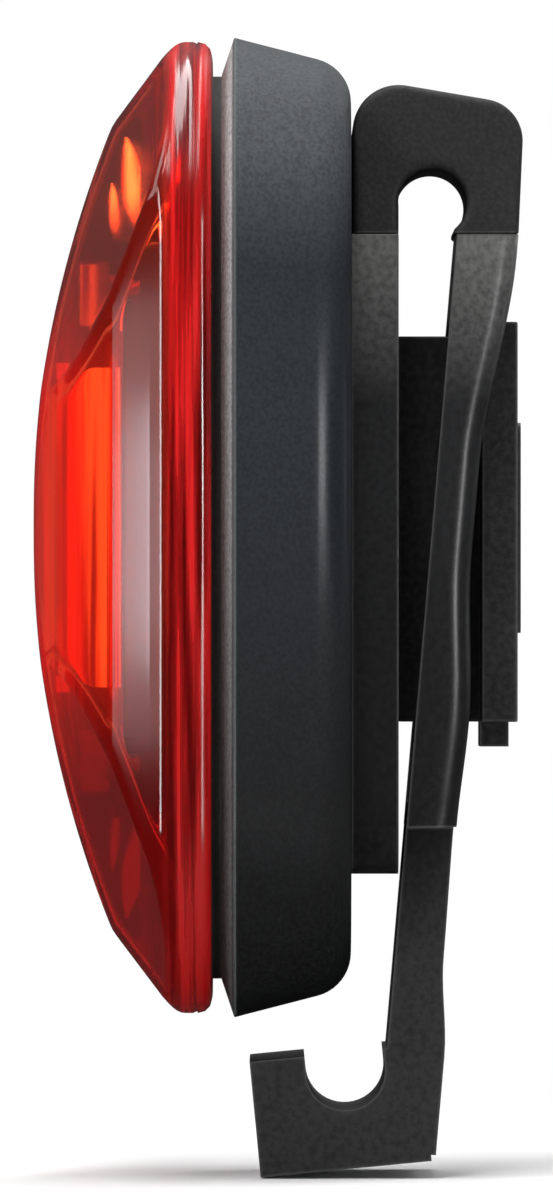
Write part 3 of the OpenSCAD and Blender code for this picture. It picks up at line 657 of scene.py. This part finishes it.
def make_lens():
    """The faceted shell with its flange and its spigot."""
    skin = Skin()
    outer = sheet(skin, 0, LENS_EDGE)
    inner = sheet(skin, WALL, WALL)

    def border(loop):
        """X and Z of the points of a loop."""
        return [(skin.points[i][0], skin.points[i][2]) for i in loop]

    def heights(loop):
        """Forward distances of the points of a loop."""
        return np.array([skin.points[i][1] for i in loop])

    at = border(outer)
    top = heights(outer)
    last = outer

    def go_on(inset, f):
        """Carries the skin on to a loop at some inset and forward distance."""
        nonlocal last
        loop = skin.ring(moved_in(at, LENS_EDGE, inset), f)
        skin.bridge(last, loop)
        last = loop

    low = F_LENS + RIM_ROUND
    sharp = np.array(moved_in(at, LENS_EDGE, 0))
    sharp = lens_height(sharp[:, 0], sharp[:, 1], 0)
    for i in range(1, LENS_EDGE_STEPS + 1):
        t = i / LENS_EDGE_STEPS
        turn = (1 - t) ** 2 * top + 2 * t * (1 - t) * sharp + t**2 * (sharp - LENS_EDGE)
        go_on(LENS_EDGE * (1 - t) ** 2, np.maximum(turn, low))
    rim = heights(last)
    for share in (0.3, 0.6, GROOVE_AT, 1.0):
        go_on(GROOVE if share == GROOVE_AT else 0, rim + (low - rim) * share)
    for turn in (30, 60, 90):
        angle = math.radians(turn)
        go_on(RIM_ROUND * (1 - math.cos(angle)), low - RIM_ROUND * math.sin(angle))
    flange_up = F_LENS + FLANGE_T
    spigot_low = F_LENS - SPIGOT_L
    spigot_to = SPIGOT_IN + SPIGOT_T
    steps = [
        (2 * RIM_ROUND, F_LENS),
        (SPIGOT_IN, F_LENS),
        (SPIGOT_IN, spigot_low + LENS_ROUND),
        (SPIGOT_IN + LENS_ROUND, spigot_low),
        (spigot_to - LENS_ROUND, spigot_low),
        (spigot_to, spigot_low + LENS_ROUND),
        (spigot_to, flange_up - LENS_ROUND),
        (spigot_to - LENS_ROUND, flange_up),
        (WALL + FOOT_IN, flange_up),
        (WALL + FOOT_RISE, flange_up + FOOT_RISE),
    ]
    for inset, f in steps:
        go_on(inset, f)
    foot = skin.ring(border(inner), np.minimum(heights(inner), flange_up + FOOT_UP))
    skin.bridge(last, foot)
    skin.bridge(foot, inner)
    lens = mesh_object("lens_shell", skin.points, skin.faces)
    finish_with(lens, "lens_red")
    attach(lens, "lens_unit")
    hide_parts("lens")


make_lens()


# Petals of the light guide on the reflector's end fins, glowing as painted glints, as ends and half widths
# in f and Z
FIN_HALF = 0.5
PETAL_RISE = 0.45
PETAL_ROWS = 24
PETAL_COLUMNS = 12
PETAL_BLUNT = 0.02
PETALS = (
    (np.array([26.15, 20.8]), np.array([27.05, 27.9]), 0.75),
    (np.array([27.75, 19.6]), np.array([28.1, 24.6]), 0.32),
)


def petal(skin, foot, tip, half, side, flip):
    """One leaf with a rounded face, lying on one side of a fin."""
    long = np.linalg.norm(tip - foot)
    way = (tip - foot) / long
    out = np.array([-way[1], way[0]])
    start = len(skin.points)
    for i in range(PETAL_ROWS + 1):
        t = i / PETAL_ROWS
        full = math.sin(math.pi * min(max(t, PETAL_BLUNT), 1 - PETAL_BLUNT))
        for k in range(PETAL_COLUMNS + 1):
            s = -1 + 2 * k / PETAL_COLUMNS
            f, z = foot + way * long * t + out * half * full**0.8 * s
            high = PETAL_RISE * math.sqrt(max(1 - s * s, 0)) * full**0.5
            skin.points.append((side * (FIN_HALF + high), f, z * flip))
    row = PETAL_COLUMNS + 1
    for i in range(PETAL_ROWS):
        for k in range(PETAL_COLUMNS):
            a = start + i * row + k
            skin.faces.append((a, a + 1, a + row + 1, a + row))
    back = [start + i * row for i in range(PETAL_ROWS + 1)]
    front = [a + PETAL_COLUMNS for a in reversed(back)]
    skin.faces.append(tuple(back + front))


def make_petals():
    """Leaves that glow brightly at both ends of the lens: painted glints."""
    skin = Skin()
    for foot, tip, half in PETALS:
        for side in (-1, 1):
            for flip in (-1, 1):
                petal(skin, foot, tip, half, side, flip)
    leaves = mesh_object("guide_petals", skin.points, skin.faces)
    leaves.data.set_sharp_from_angle(angle=math.radians(50))
    finish_with(leaves, "petal_glint_glow")
    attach(leaves, "lens_unit")


make_petals()


# Spring bow, as in the part's source, in f and Z
BOW_W = 20.4
BOW_EDGE = 0.5
CLIP_TOP = 21.0
EYE = np.array([6.16, 23.3])
EYE_R = 2.46
SLOT = (8.6, 4.6)
BOW_FRONT_R = 3.3
BOW_BACK_R = 3.0
BOW_FRONT = np.array([8.6, 28.45])
BOW_BACK = np.array([2.684, 27.75])
BOW_FOOT = (11.9, -0.016)
TONGUE = (12.0, 1.6, 1.8)
TONGUE_F = (10.3, 2.184)
BOW_LIFT = 0.15
TONGUE_EDGE = 0.3

# Points along the foot, the front, the back and the other foot of the bow, and round its arcs
BOW_COUNTS = (8, 40, 40, 12)
EYE_STEPS = 24
LIP_STEPS = 12
TOP_STEPS = 16
EDGE_STEPS = 4
FACE_STEPS = 8


def arc(centre, r, start, end, count):
    """Points on a circle in f and Z, by angles in degrees from +f."""
    turns = [math.radians(start + (end - start) * i / count) for i in range(count + 1)]
    return [centre + r * np.array([math.cos(a), math.sin(a)]) for a in turns]


def spread(points, count):
    """Even points along a line through some points, ends included."""
    points = np.array(points)
    steps = np.linalg.norm(np.diff(points, axis=0), axis=1)
    along = np.concatenate([[0], np.cumsum(steps)])
    wanted = np.linspace(0, along[-1], count + 1)
    return np.stack([np.interp(wanted, along, points[:, k]) for k in range(2)], axis=1)


def bow_lines():
    """The inner and outer line of the keyhole, matched point by point from base to arm."""
    lip = math.degrees(math.acos((SLOT[1] - EYE[0]) / EYE_R))
    inner = [
        [np.array([SLOT[0], CLIP_TOP]), np.array([SLOT[0], EYE[1]])],
        arc(EYE, EYE_R, 0, 90, EYE_STEPS),
        arc(EYE, EYE_R, 90, 180, EYE_STEPS),
        arc(EYE, EYE_R, 180, 360 - lip, LIP_STEPS) + [np.array([SLOT[1], CLIP_TOP])],
    ]
    line = BOW_BACK - BOW_FRONT
    open_by = math.acos((BOW_FRONT_R - BOW_BACK_R) / np.linalg.norm(line))
    lean = math.atan2(line[1], -line[0]) + open_by
    top = 180 - math.degrees(lean)
    front = arc(BOW_FRONT, BOW_FRONT_R, 0, top, TOP_STEPS)
    back = arc(BOW_BACK, BOW_BACK_R, top, 180, TOP_STEPS)
    share = (front[-1][0] - EYE[0]) / (front[-1][0] - back[0][0])
    middle = front[-1] + (back[0] - front[-1]) * share
    out = BOW_BACK[0] - BOW_BACK_R
    fall = (back[-1][1] - EYE[1]) / (back[-1][1] - CLIP_TOP)
    side = np.array([out + (BOW_FOOT[1] - out) * fall, EYE[1]])
    outer = [
        [np.array([BOW_FOOT[0], CLIP_TOP]), np.array([BOW_FOOT[0], EYE[1]])],
        [np.array([BOW_FOOT[0], EYE[1]])] + front + [middle],
        [middle] + back + [side],
        [side, np.array([BOW_FOOT[1], CLIP_TOP])],
    ]
    lines = []
    for parts in (inner, outer):
        joined = [spread(part, count)[:-1] for part, count in zip(parts, BOW_COUNTS)]
        lines.append(np.concatenate(joined + [[parts[-1][-1]]]))
    return lines


def bow_section(size, r):
    """A rounded rectangle in thickness and width, as a loop that starts on the inner face."""
    deep, wide = size[0] / 2, size[1] / 2
    corners = []
    for a, b, turn in ((-1, 1, 180), (1, 1, 90), (1, -1, 0), (-1, -1, 270)):
        for i in range(EDGE_STEPS + 1):
            t = math.radians(turn - 90 * i / EDGE_STEPS)
            corners.append((a * (deep - r) + r * math.cos(t), b * (wide - r) + r * math.sin(t)))
    corners.append(corners[0])
    loop = []
    for k, (p, q) in enumerate(zip(corners, corners[1:])):
        pieces = FACE_STEPS if k % (EDGE_STEPS + 1) == EDGE_STEPS else 1
        for i in range(pieces):
            loop.append((p[0] + (q[0] - p[0]) * i / pieces, p[1] + (q[1] - p[1]) * i / pieces))
    return loop


def make_bow():
    """The keyhole bow as one swept bar with round edges and a tongue at each end."""
    skin = Skin()
    inner, outer = bow_lines()

    def station(i, edge=0.0, lift=0.0):
        """A loop across the bow at one of its points, drawn in by some edge and lifted along Z."""
        a, b = inner[i], outer[i]
        thick = np.linalg.norm(b - a)
        way = (b - a) / thick
        middle = (a + b) / 2
        loop = bow_section((thick - 2 * edge, BOW_W - 2 * edge), BOW_EDGE - edge)
        start = len(skin.points)
        for s, x in loop:
            f, z = middle + way * s
            skin.points.append((x, f, z + lift))
        return list(range(start, start + len(loop)))

    def tongue(f, way):
        """The upper and the lower loop of a tongue under one foot of the bow."""
        loop = bow_section(TONGUE[1::-1], TONGUE_EDGE)
        rows = []
        for z in (CLIP_TOP, CLIP_TOP - TONGUE[2]):
            start = len(skin.points)
            skin.points.extend((x, f + way * s, z) for s, x in loop)
            rows.append(list(range(start, start + len(loop))))
        return rows

    end = len(inner) - 1
    rows = [station(0, BOW_LIFT), station(0, 0.0, BOW_LIFT)]
    rows += [station(i) for i in range(1, end)]
    rows += [station(end, 0.0, BOW_LIFT), station(end, BOW_LIFT)]
    for a, b in zip(rows, rows[1:]):
        skin.bridge(a, b)
    for last, f, way in ((rows[0], TONGUE_F[0], 1), (rows[-1], TONGUE_F[1], -1)):
        mouth, tip = tongue(f, way)
        skin.bridge(last, mouth)
        skin.bridge(mouth, tip)
        skin.faces.append(tuple(tip))
    bow = mesh_object("spring_bow", skin.points, skin.faces)
    bow.data.set_sharp_from_angle(angle=math.radians(35))
    finish_with(bow, "bow_plastic")
    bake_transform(bow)
    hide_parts("clip_bow")


make_bow()


# Rounding of sharp edges
SOFT_STEPS = 4
SOFT_FROM = math.radians(28)


def soften(obj, width):
    """Rounds the sharp edges of a piece."""
    soft = obj.modifiers.new("soft", "BEVEL")
    soft.width = width * MM
    soft.segments = SOFT_STEPS
    soft.limit_method = "ANGLE"
    soft.angle_limit = SOFT_FROM
    soft.harden_normals = True


# Arm, with the thickness that its hollow back leaves at some heights
ARM_LEAN = math.radians(4.9)
ARM_IN = 1.95
ARM_T = 4.4
ARM_CUTS = 64
ARM_CLOSE = 0.1
ARM_ROUND = 1.6
ARM_ROUND_STEPS = 6
ARM_EDGE = 0.45
ARM_OUTER = 10.0
ARM_SQUARE = 0.9
ARM_WAIST = (
    (19.5, 4.4),
    (4.5, 3.0),
    (-2.0, 3.0),
    (-14.0, 3.85),
    (-21.6, 3.6),
    (-31.0, 3.7),
    (-38.0, 4.4),
)


def arm_thickness(z):
    """Thickness of the arm at a height, easing from one waist value to the next."""
    if not ARM_WAIST[-1][0] < z < ARM_WAIST[0][0]:
        return ARM_T
    for (high, thick), (low, thin) in zip(ARM_WAIST, ARM_WAIST[1:]):
        if low <= z <= high:
            t = (high - z) / (high - low)
            return thick + (thin - thick) * t * t * (3 - 2 * t)


def cleaned(shape, close):
    """Joins points that are closer than some distance, and faces that lie in one plane."""
    bmesh.ops.remove_doubles(shape, verts=shape.verts, dist=close)
    bmesh.ops.dissolve_limit(shape, angle_limit=FLAT, verts=shape.verts, edges=shape.edges)


def make_arm():
    """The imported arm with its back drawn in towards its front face."""
    mesh = NODES["clip_arm"].data.copy()
    shape = bmesh.new()
    shape.from_mesh(mesh)
    cleaned(shape, WELD)
    for z in np.linspace(ARM_WAIST[0][0], ARM_WAIST[-1][0], ARM_CUTS):
        parts = shape.verts[:] + shape.edges[:] + shape.faces[:]
        bmesh.ops.bisect_plane(shape, geom=parts, plane_co=(0, 0, z * MM), plane_no=(0, 0, 1))
    way = np.array([math.cos(ARM_LEAN), -math.sin(ARM_LEAN)])
    for vert in shape.verts:
        place = np.array([vert.co.y, vert.co.z]) / MM - (-EYE[0], EYE[1])
        deep = place @ way - ARM_IN
        if deep > 0:
            move = way * deep * (arm_thickness(vert.co.z / MM) / ARM_T - 1) * MM
            vert.co.y += move[0]
            vert.co.z += move[1]
    cleaned(shape, ARM_CLOSE * MM)
    bmesh.ops.recalc_face_normals(shape, faces=shape.faces)
    backs = [
        edge
        for edge in shape.edges
        if min(abs(vert.co.x) for vert in edge.verts) > ARM_OUTER * MM
        and any(face.normal.y > ARM_SQUARE for face in edge.link_faces)
        and any(abs(face.normal.x) > ARM_SQUARE for face in edge.link_faces)
    ]
    bmesh.ops.bevel(
        shape,
        geom=backs,
        offset=ARM_ROUND * MM,
        offset_type="OFFSET",
        segments=ARM_ROUND_STEPS,
        profile=0.5,
        affect="EDGES",
    )
    shape.to_mesh(mesh)
    shape.free()
    arm = add_object("arm_blade", mesh)
    finish_with(arm, "clip_plastic")
    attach(arm, "arm")
    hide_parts("clip_arm")
    soften(arm, ARM_EDGE)


make_arm()


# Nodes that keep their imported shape

SLOT_OF = {row["node"]: row["material_slot"] for row in frame["record"]["subparts"]}
BEVELS = {
    "housing": 0.25,
    "clip_base": 0.35,
    "dock_rail": 0.25,
    "dock_latch": 0.2,
    "power_button": 0.25,
}
for name, obj in NODES.items():
    finish_with(obj, SLOT_OF[name])
    weld = obj.modifiers.new("weld", "WELD")
    weld.merge_threshold = WELD
    flat = obj.modifiers.new("flat", "DECIMATE")
    flat.decimate_type = "DISSOLVE"
    flat.angle_limit = FLAT
    if name in BEVELS:
        soften(obj, BEVELS[name])


# Stage

PHOTO_PX_PER_MM = 13.8
PHOTO_HIGH = 1200
SENSOR = 36
DISTANCE = 1.0
LOOK_F = 17.36
LOOK_UP = -5.22
LAMP_AIM = Vector((0, -0.018, 0))

# Strength of the world as a light, and in gloss at two heights of the sky
WORLD_LEVEL = 0.2
WORLD_WHITE = 1.0
SHINE_SKY = (0.1, 0.8)
SHINE_LEVEL = (0.05, 0.5)

# Floor, in metres, and how bright it is in gloss
FLOOR_DROP = 0.0001
FLOOR_REACH = 3.0
FLOOR_FADE = (0.05, 0.16)
FLOOR_SHINE = 0.04

scene = bpy.context.scene
scene.view_settings.view_transform = "Standard"


def make_camera():
    """A long lens at the photograph's viewing angle, square on to the light's side."""
    data = bpy.data.cameras.new("camera")
    data.sensor_width = SENSOR
    data.lens = SENSOR * DISTANCE / (PHOTO_HIGH / PHOTO_PX_PER_MM * MM)
    camera = bpy.data.objects.new("camera", data)
    camera.location = (DISTANCE, -LOOK_F * MM, LOOK_UP * MM)
    camera.rotation_euler = (math.radians(90), 0, math.radians(90))
    scene.collection.objects.link(camera)
    scene.camera = camera


def area_light(name, place, size, power, shape="RECTANGLE", colour=(1, 1, 1)):
    """A soft lamp that looks at the middle of the object."""
    data = bpy.data.lights.new(name, "AREA")
    data.shape = shape
    data.size, data.size_y = size
    data.energy = power
    data.color = colour
    lamp = bpy.data.objects.new(name, data)
    lamp.location = place
    aim = LAMP_AIM - lamp.location
    lamp.rotation_euler = aim.to_track_quat("-Z", "Y").to_euler()
    scene.collection.objects.link(lamp)


def make_world():
    """A sky that is white to the camera and through glass, and dimmer in gloss and as a light."""
    world = bpy.data.worlds.new("world")
    scene.world = world
    world.use_nodes = True
    tree = world.node_tree
    back = tree.nodes["Background"]
    back.inputs["Color"].default_value = (1, 1, 1, 1)
    path = tree.nodes.new("ShaderNodeLightPath")
    sky = tree.nodes.new("ShaderNodeTexCoord")
    up = tree.nodes.new("ShaderNodeSeparateXYZ")
    tree.links.new(sky.outputs["Generated"], up.inputs[0])
    shine = tree.nodes.new("ShaderNodeMapRange")
    shine.inputs["From Min"].default_value = SHINE_SKY[0]
    shine.inputs["From Max"].default_value = SHINE_SKY[1]
    shine.inputs["To Min"].default_value = SHINE_LEVEL[0]
    shine.inputs["To Max"].default_value = SHINE_LEVEL[1]
    tree.links.new(up.outputs["Z"], shine.inputs["Value"])

    def pick(kind):
        """A mix that turns to its second value for one kind of ray."""
        made = tree.nodes.new("ShaderNodeMix")
        tree.links.new(path.outputs[kind], made.inputs["Factor"])
        return made

    glossy = pick("Is Glossy Ray")
    glossy.inputs["A"].default_value = WORLD_LEVEL
    tree.links.new(shine.outputs["Result"], glossy.inputs["B"])
    level = glossy.outputs["Result"]
    for kind in ("Is Transmission Ray", "Is Camera Ray"):
        white = pick(kind)
        white.inputs["B"].default_value = WORLD_WHITE
        tree.links.new(level, white.inputs["A"])
        level = white.outputs["Result"]
    tree.links.new(level, back.inputs["Strength"])


def make_floor():
    """A pale floor with the object's shadow, which fades to white for the camera and stays dim in gloss."""
    z = cad_box[0].z - FLOOR_DROP
    r = FLOOR_REACH
    mesh = bpy.data.meshes.new("floor")
    mesh.from_pydata([(-r, -r, z), (r, -r, z), (r, r, z), (-r, r, z)], [], [(0, 1, 2, 3)])
    floor = bpy.data.objects.new("floor", mesh)
    scene.collection.objects.link(floor)
    paint = Paint("floor", (0.9, 0.9, 0.9), 0.9, 0.0)
    far = paint.node("ShaderNodeVectorMath", operation="LENGTH")
    paint.link(paint.place, far.inputs[0])
    fade = paint.node("ShaderNodeMapRange", interpolation_type="SMOOTHSTEP")
    fade.inputs["From Min"].default_value = FLOOR_FADE[0]
    fade.inputs["From Max"].default_value = FLOOR_FADE[1]
    paint.link(far.outputs["Value"], fade.inputs["Value"])
    path = paint.node("ShaderNodeLightPath")
    white = paint.node("ShaderNodeEmission")
    shown = paint.node("ShaderNodeMixShader")
    paint.link(paint.times(fade.outputs["Result"], path.outputs["Is Camera Ray"]), shown.inputs[0])
    paint.link(paint.shader.outputs[0], shown.inputs[1])
    paint.link(white.outputs[0], shown.inputs[2])
    mirrored = paint.node("ShaderNodeMath", operation="SUBTRACT", use_clamp=True)
    paint.link(path.outputs["Is Glossy Ray"], mirrored.inputs[0])
    paint.link(path.outputs["Is Transmission Ray"], mirrored.inputs[1])
    dim = paint.node("ShaderNodeEmission")
    dim.inputs["Strength"].default_value = FLOOR_SHINE
    both = paint.node("ShaderNodeMixShader")
    paint.link(mirrored.outputs[0], both.inputs[0])
    paint.link(shown.outputs[0], both.inputs[1])
    paint.link(dim.outputs[0], both.inputs[2])
    paint.link(both.outputs[0], paint.tree.nodes["Material Output"].inputs["Surface"])
    mesh.materials.append(paint.mat)


make_camera()
area_light("front_softbox", (0.32, -0.66, 0.46), (0.5, 0.6), 3.8)
area_light("facet_bar", (0.408, -0.7, 0.005), (0.46, 0.058), 0.19)
area_light("facet_glow", (0.402, -0.69, 0.003), (0.44, 0.024), 0.06, colour=(0.7, 0.88, 1.0))
area_light("facet_edge", (0.3188, -0.7406, 0.003), (0.04, 0.034), 0.035, colour=(0.8, 0.92, 1.0))
area_light("strip", (0.62, -0.55, 0.0), (0.08, 0.5), 1.9)
area_light("top_softbox", (0.06, -0.03, 0.42), (0.1, 0.9), 2.5, "ELLIPSE")
area_light("back_softbox", (-0.5, 0.55, 0.35), (0.6, 0.7), 2.3)
area_light("edge_strip", (0.58, 0.465, 0.012), (0.17, 0.08), 1.5)

make_world()
make_floor()
